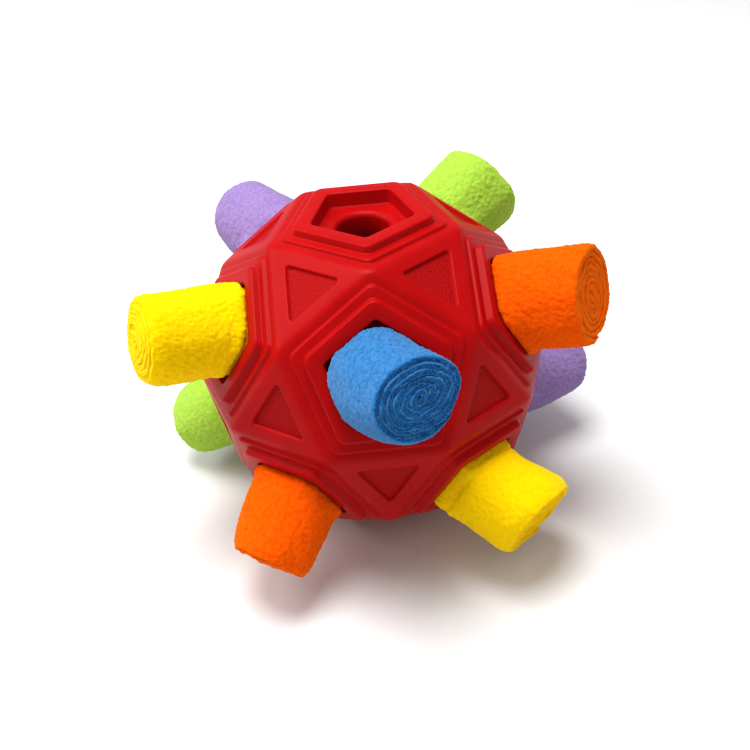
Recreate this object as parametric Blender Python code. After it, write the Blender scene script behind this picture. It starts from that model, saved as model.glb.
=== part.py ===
"""Snuffle ball for a dog: a hollow rubber ball with twelve pentagonal pockets, ten of them
holding a roll of fleece strip, two of them open so that treats go in and fall out.

Metres, +Z up, origin at the ball's centre, front towards -Y. The ball is an icosidodecahedron:
twelve pentagon panels, each with a two-step terrace round a pocket and a round hole, and twenty
triangle panels, each with a shallow recess. Its two moulded halves meet on a great circle of
panel edges, which crosses no pocket. Run it with: blender --background --python part.py
"""

from math import acos, atan, atan2, cos, floor, pi, radians, sin, sqrt, tan

import bmesh
import bpy
import numpy as np
from mathutils import Matrix, Vector

# Pentagon panel, measured from its middle outwards: the four widths add up to the panel's
# inner radius, and the ball's size follows from that
POCKET_INRADIUS = 0.01165
RIM_WIDTH = 0.00408
LEDGE_WIDTH = 0.00271
EDGE_MARGIN = 0.00258

# Heights of the terrace and depths below its rim
LOWER_STEP = 0.00093
UPPER_STEP = 0.00204
POCKET_DEPTH = 0.0042
FLOOR_WALL = 0.0040
HOLE_RADIUS = 0.0070
HOLE_LIP = 0.0007

# Draft of the terrace walls and of the pocket, and the corner radii of their outlines
STEP_DRAFT = 0.00035
POCKET_DRAFT = 0.00030
TERRACE_CORNER = 0.0026
POCKET_CORNER = 0.0016

# Triangle panel
RECESS_BAND = 0.0039
RECESS_DEPTH = 0.0009
RECESS_DRAFT = 0.0004
RECESS_CORNER = 0.0009

# Rounding of the edges between the panels, and the joint between the two halves
EDGE_ROUND = 0.0016
SEAM_GAP = 0.0003

# Fleece rolls: one strip each, wound up, pushed into a pocket and through its hole
FLEECE = 0.0016
LAYER_GAP = 0.00052
CORE_RADIUS = 0.0005
ROLL_CLEARANCE = 0.00035
ROLL_SWELL = 0.0018
SWELL_HEIGHT = 0.0058
ROLL_LENGTH = 0.0225
ROLL_END_RADIUS = 0.0122
END_DROP = 0.0014
NECK_REACH = 0.0038

# Counts
CORNER_STEPS = 2
LAYER_SIDES = 16

# Vertices closer than this are one vertex
MERGE = 0.00001

# Where the extra points of a panel edge lie, as shares of the edge from its nearer corner
EDGE_POINT_SHARES = (0.30, 0.13)

LATITUDE = atan(0.5)
PENTAGON_TURN = 2 * pi / 5
SMOOTH_ANGLE = radians(32)

RED = (0.56, 0.006, 0.009)
FLEECE_COLOURS = {
    "blue": (0.07, 0.26, 0.78),
    "orange": (0.94, 0.13, 0.006),
    "lime": (0.50, 0.80, 0.09),
    "lilac": (0.42, 0.29, 0.72),
    "yellow": (0.95, 0.72, 0.012),
}

# Name, colour, azimuth from the front towards +X, above or below the equator, how far the roll
# leans east and north, where its strip ends, all in degrees, then its length and end radius as
# shares of the common ones and how oval its end is
ROLL_SHARES = (
    ("blue_front", "blue", 0, 1, 15, 0, 250, 1.02, 0.91, 0.10, 40),
    ("orange_right", "orange", 72, 1, -14, -5, 200, 0.97, 1.10, 0.04, 90),
    ("lime_rear_right", "lime", 144, 1, -15, -6, 30, 0.96, 1.15, 0.03, 0),
    ("lilac_rear_left", "lilac", 216, 1, -1, -17, 120, 0.90, 0.98, 0.05, 60),
    ("yellow_left", "yellow", 288, 1, 10, -12, 330, 1.08, 0.96, 0.03, 20),
    ("yellow_lower_right", "yellow", 36, -1, 13, 6, 80, 1.05, 1.08, 0.06, 120),
    ("lilac_lower_right", "lilac", 108, -1, 7, 14, 300, 1.12, 1.03, 0.04, 10),
    ("blue_lower_rear", "blue", 180, -1, -8, 2, 150, 1.00, 0.99, 0.05, 70),
    ("lime_lower_left", "lime", 252, -1, -5, -9, 20, 1.08, 0.96, 0.03, 150),
    ("orange_lower_left", "orange", 324, -1, 5, 0, 220, 0.97, 0.90, 0.05, 100),
)


def clear_scene():
    for obj in list(bpy.data.objects):
        bpy.data.objects.remove(obj, do_unlink=True)


def principled(name, colour, roughness):
    material = bpy.data.materials.new(name)
    material.use_nodes = True
    shader = material.node_tree.nodes["Principled BSDF"]
    shader.inputs["Base Color"].default_value = (*colour, 1.0)
    shader.inputs["Roughness"].default_value = roughness
    shader.inputs["Metallic"].default_value = 0.0
    return material


def mesh_object(name, mesh_source, colour, roughness):
    """Turns a bmesh into an object with outward faces, smooth shading and its own material."""
    bmesh.ops.recalc_face_normals(mesh_source, faces=mesh_source.faces)
    mesh = bpy.data.meshes.new(name)
    mesh_source.to_mesh(mesh)
    mesh_source.free()
    mesh.shade_smooth()
    mesh.set_sharp_from_angle(angle=SMOOTH_ANGLE)
    mesh.materials.append(principled(name, colour, roughness))
    obj = bpy.data.objects.new(name, mesh)
    bpy.context.scene.collection.objects.link(obj)
    return obj


# Panel directions

def direction(azimuth, side):
    """Unit vector to a pentagon panel: azimuth in degrees, side +1 above or -1 below."""
    angle = radians(azimuth)
    lift = LATITUDE * side
    return Vector((sin(angle) * cos(lift), -cos(angle) * cos(lift), sin(lift)))


UP = Vector((0.0, 0.0, 1.0))
UPPER_AXES = [direction(72 * i, 1) for i in range(5)]
LOWER_AXES = [direction(72 * i + 36, -1) for i in range(5)]
PENTAGON_AXES = [UP, *UPPER_AXES, *LOWER_AXES, -UP]
NEIGHBOUR_COSINE = 1 / sqrt(5)
SEAM_AXIS = direction(288, 1)


def are_neighbours(a, b):
    return abs(a.dot(b) - NEIGHBOUR_COSINE) < 0.01


TRIANGLES = [
    (a, b, c)
    for i, a in enumerate(PENTAGON_AXES)
    for j, b in enumerate(PENTAGON_AXES[:i])
    for c in PENTAGON_AXES[:j]
    if are_neighbours(a, b) and are_neighbours(a, c) and are_neighbours(b, c)
]


def around(axis, corners):
    """The corner directions in order round the axis, counter-clockwise seen from outside."""
    start = (corners[0] - axis * corners[0].dot(axis)).normalized()
    side = axis.cross(start)
    return sorted(corners, key=lambda corner: atan2(corner.dot(side), corner.dot(start)))


def pentagon_corners(axis):
    return around(axis, [(axis + b).normalized() for b in PENTAGON_AXES if are_neighbours(axis, b)])


def triangle_corners(axes):
    a, b, c = axes
    middle = (a + b + c).normalized()
    return middle, around(middle, [(a + b).normalized(), (b + c).normalized(), (c + a).normalized()])


# Sizes that follow from the named ones. A pentagon panel's plane is twice as far from the
# centre as the panel's inner radius, and the triangle planes follow from the same corners
PANEL_INRADIUS = POCKET_INRADIUS + RIM_WIDTH + LEDGE_WIDTH + EDGE_MARGIN
PANEL_PLANE = 2 * PANEL_INRADIUS
LEDGE_PLANE = PANEL_PLANE + LOWER_STEP
RIM_PLANE = LEDGE_PLANE + UPPER_STEP
POCKET_PLANE = RIM_PLANE - POCKET_DEPTH
CAVITY_PLANE = POCKET_PLANE - FLOOR_WALL
CORNER_LIFT = 1 / UP.dot((UP + UPPER_AXES[0]).normalized())
BALL_RADIUS = PANEL_PLANE * CORNER_LIFT
CAVITY_RADIUS = CAVITY_PLANE * CORNER_LIFT
TRIANGLE_MIDDLE, TRIANGLE_CORNERS = triangle_corners(TRIANGLES[0])
TRIANGLE_COSINE = TRIANGLE_MIDDLE.dot(TRIANGLE_CORNERS[0])
TRIANGLE_PLANE = BALL_RADIUS * TRIANGLE_COSINE
TRIANGLE_INRADIUS = BALL_RADIUS * sqrt(1 - TRIANGLE_COSINE ** 2) * cos(pi / 3)
RECESS_INRADIUS = TRIANGLE_INRADIUS - RECESS_BAND
PANEL_BEND = acos(TRIANGLE_MIDDLE.dot(TRIANGLES[0][0]))
EDGE_DROP = EDGE_ROUND * (1 / cos(PANEL_BEND / 2) - 1) / tan(PANEL_BEND / 2)


# Outlines of a panel. Each has the same number of points per corner, so that two outlines
# always bridge point to point

def edge_outline(corners, radius, drop):
    """The panel's own edges at the ball's corners, drawn in by drop, twice that at a corner."""
    points = []
    for i, corner in enumerate(corners):
        here = corner * radius
        before = corners[i - 1] * radius
        after = corners[(i + 1) % len(corners)] * radius
        run = [here.lerp(before, share) for share in EDGE_POINT_SHARES]
        run.append(here)
        run += [here.lerp(after, share) for share in reversed(EDGE_POINT_SHARES)]
        for j, point in enumerate(run):
            amount = 2 * drop if j == CORNER_STEPS else drop
            points.append(point - point.normalized() * amount)
    return points


def corner_frame(axis, corner):
    outward = (corner - axis * corner.dot(axis)).normalized()
    return outward, axis.cross(outward)


def rounded_outline(axis, corners, plane, inradius, rounding):
    """A regular outline with rounded corners, square to the axis at the given plane."""
    half_turn = pi / len(corners)
    reach = (inradius - rounding) / cos(half_turn)
    points = []
    for corner in corners:
        outward, across = corner_frame(axis, corner)
        for j in range(-CORNER_STEPS, CORNER_STEPS + 1):
            angle = half_turn * j / CORNER_STEPS
            spoke = outward * cos(angle) + across * sin(angle)
            points.append(axis * plane + outward * reach + spoke * rounding)
    return points


def round_outline(axis, corners, plane, radius):
    points = []
    step = 2 * pi / (len(corners) * (2 * CORNER_STEPS + 1))
    for corner in corners:
        outward, across = corner_frame(axis, corner)
        for j in range(-CORNER_STEPS, CORNER_STEPS + 1):
            spoke = outward * cos(step * j) + across * sin(step * j)
            points.append(axis * plane + spoke * radius)
    return points


def bridge(mesh, outlines):
    """Joins each outline to the next with a band of quads and returns the last one's vertices."""
    rings = [[mesh.verts.new(point) for point in outline] for outline in outlines]
    for lower, upper in zip(rings, rings[1:]):
        for i in range(len(lower)):
            mesh.faces.new((lower[i - 1], lower[i], upper[i], upper[i - 1]))
    return rings[-1]


def pentagon_panel(mesh, axis):
    """Terrace, pocket, hole and the cavity's own pentagon, from the outer edge inwards."""
    corners = pentagon_corners(axis)
    ledge = PANEL_INRADIUS - EDGE_MARGIN
    rim = ledge - LEDGE_WIDTH
    margin = PANEL_INRADIUS - min(EDGE_ROUND, EDGE_MARGIN / 2)

    def rounded(plane, inradius, rounding):
        return rounded_outline(axis, corners, plane, inradius, rounding)

    bridge(mesh, [
        edge_outline(corners, BALL_RADIUS, EDGE_DROP),
        rounded(PANEL_PLANE, margin, TERRACE_CORNER),
        rounded(PANEL_PLANE, ledge + STEP_DRAFT, TERRACE_CORNER),
        rounded(LEDGE_PLANE, ledge, TERRACE_CORNER),
        rounded(LEDGE_PLANE, rim + STEP_DRAFT, TERRACE_CORNER),
        rounded(RIM_PLANE, rim, TERRACE_CORNER),
        rounded(RIM_PLANE, POCKET_INRADIUS, POCKET_CORNER),
        rounded(POCKET_PLANE, POCKET_INRADIUS - POCKET_DRAFT, POCKET_CORNER),
        round_outline(axis, corners, POCKET_PLANE, HOLE_RADIUS + HOLE_LIP),
        round_outline(axis, corners, POCKET_PLANE - HOLE_LIP, HOLE_RADIUS),
        round_outline(axis, corners, CAVITY_PLANE, HOLE_RADIUS),
        edge_outline(corners, CAVITY_RADIUS, 0.0),
    ])


def triangle_panel(mesh, axes):
    """Face band, recess and recess floor outside, and the cavity's own triangle."""
    axis, corners = triangle_corners(axes)
    band = TRIANGLE_INRADIUS - min(EDGE_ROUND, RECESS_BAND / 2)
    floor_plane = TRIANGLE_PLANE - RECESS_DEPTH
    last = bridge(mesh, [
        edge_outline(corners, BALL_RADIUS, EDGE_DROP),
        rounded_outline(axis, corners, TRIANGLE_PLANE, band, RECESS_CORNER),
        rounded_outline(axis, corners, TRIANGLE_PLANE, RECESS_INRADIUS, RECESS_CORNER),
        rounded_outline(axis, corners, floor_plane, RECESS_INRADIUS - RECESS_DRAFT, RECESS_CORNER),
    ])
    mesh.faces.new(last)
    inside = edge_outline(corners, CAVITY_RADIUS, 0.0)
    mesh.faces.new([mesh.verts.new(point) for point in reversed(inside)])


def shell_half(name, side):
    """One moulded half: the panels on one side of the seam plane, closed along the seam."""
    mesh = bmesh.new()
    for axis in PENTAGON_AXES:
        if axis.dot(SEAM_AXIS) * side > 0:
            pentagon_panel(mesh, axis)
    for axes in TRIANGLES:
        if sum((axis.dot(SEAM_AXIS) for axis in axes)) * side > 0:
            triangle_panel(mesh, axes)
    bmesh.ops.remove_doubles(mesh, verts=mesh.verts, dist=MERGE)
    for vertex in mesh.verts:
        if abs(vertex.co.dot(SEAM_AXIS)) < MERGE:
            vertex.co += SEAM_AXIS * (side * SEAM_GAP / 2)
    seam = [edge for edge in mesh.edges if edge.is_boundary]
    bmesh.ops.bridge_loops(mesh, edges=seam)
    return mesh_object(name, mesh, RED, 0.42)


# Fleece rolls, in their own frame: z from the rim plane outwards, x east and y north

def lean_matrix(east, north):
    tip = Vector((tan(radians(east)), tan(radians(north)), 1.0)).normalized()
    return Vector((0.0, 0.0, 1.0)).rotation_difference(tip).to_matrix()


def oval(point, amount, angle):
    """Stretches a point along the direction at angle and squeezes it across."""
    turn = Matrix.Rotation(radians(angle), 3, "Z")
    local = turn.transposed() @ point
    return turn @ Vector((local.x * (1 + amount), local.y * (1 - amount), local.z))


class Roll:
    """One wound strip: layers open from its end face down to where the pocket squeezes it."""

    def __init__(self, side, east, north, strip_end, length, end_radius, oval_amount, oval_angle):
        self.corner = radians(90) * side
        self.half_lean = lean_matrix(east / 2, north / 2)
        self.lean = lean_matrix(east, north)
        self.length = length
        self.end_radius = end_radius
        self.oval_amount = oval_amount
        self.oval_angle = oval_angle
        self.swell_radius = POCKET_INRADIUS - ROLL_CLEARANCE + ROLL_SWELL
        winding = end_radius - CORE_RADIUS - FLEECE
        self.stations = floor(winding / (FLEECE + LAYER_GAP) * LAYER_SIDES)
        self.pitch = winding / self.stations * LAYER_SIDES
        self.start = radians(strip_end) - 2 * pi * self.stations / LAYER_SIDES

    def angle(self, station):
        return self.start + 2 * pi * station / LAYER_SIDES

    def wall(self, station, outer, at_end):
        """A point on the strip's inner or outer face, at its end or where its layers open."""
        radius = CORE_RADIUS + self.pitch * station / LAYER_SIDES + (FLEECE if outer else 0.0)
        angle = self.angle(station)
        if not at_end:
            grown = radius * self.swell_radius / self.end_radius
            return self.half_lean @ Vector((cos(angle) * grown, sin(angle) * grown, SWELL_HEIGHT))
        height = self.length - END_DROP * (radius / self.end_radius) ** 4
        point = Vector((cos(angle) * radius, sin(angle) * radius, height))
        return self.lean @ oval(point, self.oval_amount, self.oval_angle)

    def squeezed(self, station, height, inradius):
        """A point on the roll inside the pocket, where the pentagon flattens its sides."""
        angle = self.angle(station)
        off_side = (angle - self.corner) % PENTAGON_TURN - PENTAGON_TURN / 2
        radius = min((inradius - ROLL_CLEARANCE) / cos(off_side), POCKET_INRADIUS)
        return Vector((cos(angle) * radius, sin(angle) * radius, height))

    def neck(self, station, height, hole_radius):
        angle = self.angle(station)
        radius = hole_radius - ROLL_CLEARANCE
        return Vector((cos(angle) * radius, sin(angle) * radius, height))

    def least_gap(self):
        """The least distance from a layer's outer face to the next layer's inner face."""
        gaps = []
        for at_end in (False, True):
            for k in range(self.stations - LAYER_SIDES):
                point = np.array(self.wall(k, True, at_end))
                for near in (k - 1, k):
                    a = np.array(self.wall(near + LAYER_SIDES, False, at_end))
                    b = np.array(self.wall(near + LAYER_SIDES + 1, False, at_end))
                    along = np.clip(np.dot(point - a, b - a) / np.dot(b - a, b - a), 0.0, 1.0)
                    gaps.append(np.linalg.norm(point - a - (b - a) * along))
        return min(gaps)

    def build(self):
        """The strip as one closed mesh: walls, end face, floor of the gap, and the neck."""
        mesh = bmesh.new()
        last = self.stations
        first = last - LAYER_SIDES
        low_in, low_out, top_in, top_out = (
            [mesh.verts.new(self.wall(k, outer, at_end)) for k in range(last + 1)]
            for outer, at_end in ((False, False), (True, False), (False, True), (True, True))
        )
        for k in range(last):
            mesh.faces.new((low_out[k], low_out[k + 1], top_out[k + 1], top_out[k]))
            mesh.faces.new((low_in[k + 1], low_in[k], top_in[k], top_in[k + 1]))
            mesh.faces.new((top_in[k], top_out[k], top_out[k + 1], top_in[k + 1]))
        for k in range(first):
            reach = k + LAYER_SIDES
            mesh.faces.new((low_out[k], low_in[reach], low_in[reach + 1], low_out[k + 1]))
        mesh.faces.new((low_in[0], low_out[0], top_out[0], top_in[0]))
        mesh.faces.new((low_out[last], low_in[last], top_in[last], top_out[last]))
        mesh.faces.new([low_out[0], *reversed(low_in[:LAYER_SIDES + 1])])

        neck_top = -POCKET_DEPTH + ROLL_CLEARANCE
        neck_foot = -POCKET_DEPTH - FLOOR_WALL - NECK_REACH
        rings = [
            [mesh.verts.new(place(k, height, room)) for k in range(first, last)]
            for place, height, room in (
                (self.squeezed, ROLL_CLEARANCE, POCKET_INRADIUS),
                (self.squeezed, neck_top, POCKET_INRADIUS - POCKET_DRAFT),
                (self.neck, neck_top, HOLE_RADIUS),
                (self.neck, neck_foot, HOLE_RADIUS),
            )
        ]
        throat = rings[0] + rings[0][:1]
        for i in range(LAYER_SIDES):
            above = (low_out[first + i + 1], low_out[first + i])
            mesh.faces.new((*above, throat[i], throat[i + 1]))
        mesh.faces.new((low_in[last], low_out[last], throat[-1]))
        mesh.faces.new((low_out[first], low_in[last], throat[-1]))
        for upper, lower in zip(rings, rings[1:]):
            for i in range(LAYER_SIDES):
                mesh.faces.new((upper[i], upper[i - 1], lower[i - 1], lower[i]))
        mesh.faces.new(reversed(rings[-1]))
        return mesh


def place_on_panel(obj, axis):
    """Puts an object's origin at a pocket's mouth, its z out of the pocket and y to the north."""
    north = (UP - axis * UP.dot(axis)).normalized()
    east = north.cross(axis)
    turn = Matrix((east, north, axis)).transposed()
    obj.matrix_world = Matrix.Translation(axis * RIM_PLANE) @ turn.to_4x4()


def fleece_rolls():
    gaps = []
    for name, colour, azimuth, side, east, north, strip_end, long, wide, oval_share, oval_at in ROLL_SHARES:
        length = ROLL_LENGTH * long
        end_radius = ROLL_END_RADIUS * wide
        roll = Roll(side, east, north, strip_end, length, end_radius, oval_share, oval_at)
        obj = mesh_object("fleece_roll_" + name, roll.build(), FLEECE_COLOURS[colour], 0.95)
        place_on_panel(obj, direction(azimuth, side))
        gaps.append(roll.least_gap())
    print("least gap between the layers of a roll, mm:", round(min(gaps) * 1000, 3))


def main():
    clear_scene()
    shell_half("shell_left_half", 1)
    shell_half("shell_right_half", -1)
    fleece_rolls()


main()
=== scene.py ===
"""Looks of the snuffle ball: moulded rubber halves with soft edges, and ten wound fleece strips.

Metres, +Z up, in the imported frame: the ball's centre is the origin and its front faces -Y.
"""

from math import acos, atan, atan2, ceil, cos, exp, pi, radians, sin, sqrt, tan

import bmesh
import bpy
import numpy as np
from mathutils import Matrix, Vector, noise


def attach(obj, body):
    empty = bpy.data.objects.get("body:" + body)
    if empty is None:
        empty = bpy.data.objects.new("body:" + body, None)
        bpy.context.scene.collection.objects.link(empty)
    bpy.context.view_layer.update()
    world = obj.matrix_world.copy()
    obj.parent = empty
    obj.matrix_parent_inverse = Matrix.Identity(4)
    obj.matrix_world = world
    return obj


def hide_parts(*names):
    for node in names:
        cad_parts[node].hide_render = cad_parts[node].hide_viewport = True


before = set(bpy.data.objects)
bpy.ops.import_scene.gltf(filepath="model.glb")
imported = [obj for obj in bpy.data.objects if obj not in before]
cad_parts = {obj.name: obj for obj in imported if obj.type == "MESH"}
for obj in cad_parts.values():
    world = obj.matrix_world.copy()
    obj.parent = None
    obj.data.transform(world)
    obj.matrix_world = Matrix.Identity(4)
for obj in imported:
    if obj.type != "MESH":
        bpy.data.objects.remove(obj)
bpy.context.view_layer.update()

MM = 0.001

# The ball's sizes, as its solids have them
POCKET_INRADIUS = 0.01165
RIM_WIDTH = 0.00408
LEDGE_WIDTH = 0.00271
EDGE_MARGIN = 0.00258
LOWER_STEP = 0.00093
UPPER_STEP = 0.00204
POCKET_DEPTH = 0.0042
FLOOR_WALL = 0.0040
HOLE_RADIUS = 0.0070
STEP_DRAFT = 0.00035
POCKET_DRAFT = 0.00030
TERRACE_CORNER = 0.0026
POCKET_CORNER = 0.0016
RECESS_BAND = 0.0039
RECESS_DEPTH = 0.0009
RECESS_DRAFT = 0.0004
RECESS_CORNER = 0.0009

# The collar round each hole, on the floor's inner side, which the solids don't have
COLLAR_DEPTH = 0.0036
COLLAR_WALL = 0.0022

# Fillets of the moulding, and how far from the hole's wall its lip starts
BASE_FILLET = 0.00032
STEP_FILLET = 0.00048
RIM_FILLET = 0.00055
POCKET_FILLET = 0.00042
FLOOR_FILLET = 0.0006
LIP_FILLET = 0.0014
LIP_REACH = 1.6 * LIP_FILLET
RECESS_FILLET = 0.00034
# Corner radii of a recess at the foot of its wall and where its floor turns flat
RECESS_FOOT_CORNER = 0.8 * RECESS_CORNER
RECESS_FLOOR_CORNER = 0.6 * RECESS_CORNER

# Rounding of the panel edges: a higher power is a sharper edge
EDGE_POWER = 110

# The fine bead where the two halves meet
SEAM_GAP = 0.00002
BEAD_HEIGHT = 0.00010
BEAD_WIDTH = 0.00020
BEAD_REACH = 3 * BEAD_WIDTH

# Vertices closer than this are one vertex
MERGE = 0.003 * MM

# The fleece, and the rolls wound from it
FLEECE = 0.0015
LAYER_GAP = 0.00012
CORE_RADIUS = 0.0003
# How far back, in radians, the strip's start fills the core, and how thin that leaves the hole
CORE_TURN = pi
CORE_HOLE_SHARE = 0.15
ROLL_CLEARANCE = 0.00012
ROLL_LENGTH = 0.0225
ROLL_END_RADIUS = 0.0122
# How far the neck reaches past the hole into the ball
NECK_REACH = 0.0038
# How far a roll swells over the rim, and how high above it the swell is full
ROLL_SWELL = 0.0018
SWELL_HEIGHT = 0.0032
# How far the rim of a roll's end lies below its middle
END_DROP = 0.0014
# Over what length the strip's free end thins, and to what share of the fleece
TAIL_LENGTH = 0.006
TAIL_SHARE = 0.35
# A roll's profile: radius as a share of the neck's, and height above the foot
FOOT_SHARES = ((0.96, 0.0), (1.0, 1.5 * MM))
# Radius as a share of the neck's, and height above the shoulder
NECK_SHARES = ((1.0, -1.6 * MM), (1.02, -0.7 * MM), (1.10, -0.08 * MM))
# Radius as a share of the mouth's, and height above the shoulder
SHOULDER_SHARES = ((0.80, 0.02 * MM), (0.93, 0.30 * MM), (0.99, 1.2 * MM))
# The profile's last two heights in the pocket, its first above the rim, and the steps from there
POCKET_HEIGHTS = (-0.6 * MM, -0.05 * MM)
SWELL_START = 0.15 * MM
GUIDE_STEP = 0.6 * MM
# How a roll swells over the rim: a lower power is quicker
SWELL_POWER = 0.30
# How far the roll fills the corners of its pocket, as a share of the pocket's half width
CORNER_FILL_SHARE = 1.20
# How far above the pocket's floor a roll starts to take the pocket's shape, and over what height
FILL_START = 0.5 * MM
FILL_RUN = 1.5 * MM
# Where above the rim the pocket's shape starts to fade, and over what height
FADE_START = 0.2 * MM
POCKET_FADE = 0.0040
# Where a roll starts to lean, and how early along it most of the lean comes
LEAN_START = 0.0006
LEAN_POWER = 2.3
# How much more oval than its outermost layer a roll's middle is
INNER_OVAL_SHARE = 2.0
# How far a roll's middle sags from the line between its two ends
SAG = 0.0011
# From which share of a roll's length on its layers slant and follow the dome of its end face
SLANT_START_SHARE = 0.3
DOME_START_SHARE = 0.4
# The dome's form: a higher power stays flat further out
DOME_POWER = 4
# How far before its end a roll starts to round off, and by what share it draws in there
END_ROUNDING = 0.0022
END_ROUNDING_SHARE = 0.035

# Noise offset from one roll to the next
SEED_STEP = 17.3
# Soft folds of a roll outside its pocket: size across and along the roll, and how far they push
# the outermost layer and, on top of that, the middle
FOLD_SIZE = 6.5 * MM
FOLD_LENGTH = 14 * MM
FOLD_PUSH = 0.45 * MM
INNER_FOLD_PUSH = 0.60 * MM
# Smaller kinks of the middle: their size, and their push as a share of the folds'
KINK_SIZE = 2.6 * MM
KINK_SHARE = 0.55
# Noise offsets of the folds and of the kinks, for their push east and for their push north
FOLD_OFFSETS = ((0, 57), (31, 83))

# The rounding of a cut edge, and how square it is: a lower power is squarer
CUT_ROUNDING = 0.0005
CUT_POWER = 0.6
# Waves of the cut edge along the strip: height, length and noise offset
EDGE_WAVES = ((0.45 * MM, 8 * MM, 5.0), (0.16 * MM, 2 * MM, 9.0))
# Where on the cut edge its knitting starts to show, from 0 at the edge's sides to 1 in its middle,
# how far that varies, over what length of strip and at what noise offset, and how softly it starts
CUT_START_SHARE = 0.52
CUT_SPREAD_SHARE = 0.25
CUT_WAVE = 3 * MM
CUT_OFFSET = 13.0
CUT_SOFTNESS_SHARE = 0.45

# The nap's mean height and the mean of its painted shading
NAP_HEIGHT = 0.12 * MM
NAP_MEAN_SHADING = 0.42
# Its tufts, curls and waves: size across and along the roll, how far they stand out, what they add
# to its painted shading (lighter on raised tufts, painted shade in the low points), and whether x or y
# moves their noise from one roll to the next
NAP_FORMS = (
    (0.72 * MM, 1.3 * MM, 0.26 * MM, 0.7, (1, 0)),
    (0.44 * MM, 0.6 * MM, 0.16 * MM, 0.5, (0, 1)),
    (3.1 * MM, 6.0 * MM, 0.10 * MM, 0.0, (0, 1)),
)
# How much of the nap a cut edge has
CUT_NAP_SHARE = 0.8

# How far above or below the equator the ten pockets lie, and a pentagon's turn from one corner to
# the next, in radians
LATITUDE = atan(0.5)
PENTAGON_TURN = 2 * pi / 5

# The ten rolls. pocket is the azimuth in degrees from the front towards +X, and 1 above or -1 below
# the equator. lean is how far the roll leans east and north, slant how much further its end face
# does, and strip_end where its strip ends, all in degrees. oval is how oval its end is and in which
# direction. bend is how late the roll tapers. The rest are shares of the common sizes: crown of how
# far its middle stands proud, fade of how far above the rim the pocket's shape still shows, and cut
# of how round the cut edge is, which also says how clearly its knitted middle shows.
ROLL_SHARES = (
    dict(name="blue_front", colour="blue", pocket=(0, 1), lean=(19.4, -4.3), strip_end=318,
         oval=(0.07, 24), length=1.03, end=0.925, swell=0.95, fill=0.895, sag=1.0, rounding=0.8),
    dict(name="orange_right", colour="orange", pocket=(72, 1), lean=(-12, -7), strip_end=256,
         oval=(0.04, 90), slant=(3.8, 7.5), length=0.97, end=1.06, swell=1.2, fill=0.94, sag=0.2,
         rounding=0.8, crown=-0.8),
    dict(name="lime_rear_right", colour="lime", pocket=(144, 1), lean=(-12.5, -4), strip_end=300,
         oval=(0.03, 0), length=0.96, end=1.15, rounding=1.4),
    dict(name="lilac_rear_left", colour="lilac", pocket=(216, 1), lean=(-1, -17), strip_end=240,
         oval=(0.05, 60), length=0.90, end=0.98, rounding=1.6),
    dict(name="yellow_left", colour="yellow", pocket=(288, 1), lean=(9, -11.5), strip_end=200,
         oval=(0.03, 20), slant=(5.5, 3.5), length=1.13, end=1.06, swell=0.75, fill=0.91, sag=1.1,
         rounding=2.6, cut=0.25, crown=2.0),
    dict(name="yellow_lower_right", colour="yellow", pocket=(36, -1), lean=(13, 7), strip_end=295,
         oval=(0.06, 120), slant=(6.9, 3.9), length=0.92, end=1.18, swell=0, sag=0, bend=0.6,
         rounding=3.0, crown=-1.0, fade=2.2),
    dict(name="lilac_lower_right", colour="lilac", pocket=(108, -1), lean=(7, 21.5), strip_end=300,
         oval=(0.04, 10), length=1.13, end=1.02, rounding=1.4),
    dict(name="blue_lower_rear", colour="blue", pocket=(180, -1), lean=(-8, 2), strip_end=150,
         oval=(0.05, 70), end=0.99),
    dict(name="lime_lower_left", colour="lime", pocket=(252, -1), lean=(-8, -9), strip_end=210,
         oval=(0.03, 150), length=1.08, end=0.93, sag=0, rounding=1.6),
    dict(name="orange_lower_left", colour="orange", pocket=(324, -1), lean=(7, 0), strip_end=220,
         oval=(0.05, 100), slant=(5.5, 9.5), length=0.96, end=0.93, swell=0.7, fill=0.95, sag=0,
         rounding=2.6),
)

# Pile colour, shaded pile colour (painted shade, at random between the fine tufts and in the nap's low
# points), cut edge colour and tint of the fine fuzz of each fleece
FLEECE_COLOURS = {
    "blue": ((0.042, 0.210, 0.490), (0.011, 0.090, 0.270), (0.001, 0.050, 0.195), (0.50, 0.66, 0.90)),
    "orange": ((0.94, 0.111, 0.0006), (0.82, 0.058, 0.0004), (0.80, 0.125, 0.0030), (1.0, 0.48, 0.01)),
    "lime": ((0.38, 0.63, 0.062), (0.26, 0.46, 0.034), (0.22, 0.39, 0.018), (0.75, 0.95, 0.40)),
    "lilac": ((0.32, 0.215, 0.47), (0.215, 0.142, 0.36), (0.16, 0.10, 0.30), (0.82, 0.74, 0.95)),
    "yellow": ((0.99, 0.69, 0.0008), (0.97, 0.57, 0.0006), (0.97, 0.50, 0.0006), (1.0, 0.95, 0.10)),
}
FLEECE_ROUGHNESS = 0.95
FLEECE_SPECULAR = 0.03
SHEEN_WEIGHT = 0.36
SHEEN_ROUGHNESS = 0.30
# Noise of the fine tufts, the cut threads and the curls: forms per metre, detail and roughness
TUFT_NOISE = (3000.0, 3.0, 0.65)
THREAD_NOISE = (2400.0, 2.0, 0.6)
CURL_NOISE = (2600.0, 4.0, 0.7)
# Between which two values of its noise or attribute each goes from none to full, and for the
# threads also how clear they are at the two
# For the tufts and the nap: from full painted shade to the plain pile colour
TUFT_RAMP = (0.34, 0.60)
NAP_RAMP = (0.10, 0.65)
THREAD_RAMP = (0.38, 0.58, 0.35, 1.0)
# How much of the pile's painted shading comes from its fine tufts, and how much from the nap's relief
TUFT_SHADING_SHARE = 0.6
NAP_SHADING_SHARE = 0.4
CURL_STRENGTH = 0.8
CURL_DEPTH = 0.38 * MM

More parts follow.
